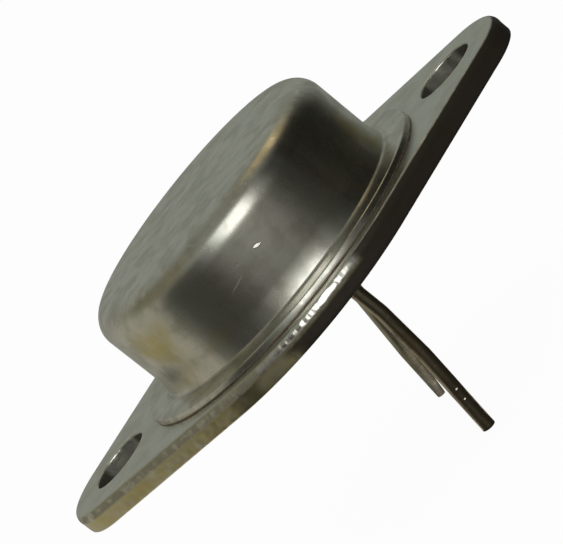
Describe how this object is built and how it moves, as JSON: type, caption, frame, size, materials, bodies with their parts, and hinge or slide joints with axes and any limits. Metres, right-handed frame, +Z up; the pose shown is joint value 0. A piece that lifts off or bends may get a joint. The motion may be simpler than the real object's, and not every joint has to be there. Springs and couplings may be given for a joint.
{
  "type": "power transistor",
  "caption": "Power transistor in a round metal can welded to a diamond-shaped mounting plate, with wire leads that leave the underside through glass seals.",
  "frame": {"origin": "centre of the mounting plate's underside, the face that seats on the heatsink, on the axis of the can and midway between the mounting holes", "axes": "+Z up the axis of the can, away from the heatsink; +X along the row of mounting holes, towards the hole that the leads are nearer to; +Y from the base lead towards the emitter lead"},
  "size_m": [0.0388, 0.0254, 0.0215],
  "materials": {
    "plate_plating": "satin nickel plating on steel, tarnished grey-green, with a worn and nicked rolled edge and bright punched holes",
    "can_plating": "satin nickel plating on drawn steel, with a darker, glossier wall",
    "weld_steel": "dark resistance weld",
    "seal_glass": "opaque dark sealing glass",
    "base_lead_alloy": "dark oxidised nickel-iron wire",
    "emitter_lead_alloy": "olive-grey oxidised nickel-iron wire",
    "braze": "braze alloy, flowed",
    "copper": "satin copper",
    "solder": "dull soft solder",
    "silicon": "polished silicon",
    "die_metal": "satin evaporated aluminium",
    "bond_wire": "bright drawn aluminium wire"
  },
  "bodies": {
    "root": {"mounting_plate": "plate_plating", "weld_ring": "weld_steel", "can": "can_plating", "base_glass_seal": "seal_glass", "emitter_glass_seal": "seal_glass", "base_lead": "base_lead_alloy", "emitter_lead": "emitter_lead_alloy", "spreader_braze": "braze", "heat_spreader": "copper", "die_solder": "solder", "silicon_die": "silicon", "emitter_metal": "die_metal", "base_metal": "die_metal", "base_wire": "bond_wire", "emitter_wire_inner": "bond_wire", "emitter_wire_outer": "bond_wire"}
  },
  "joints": []
}
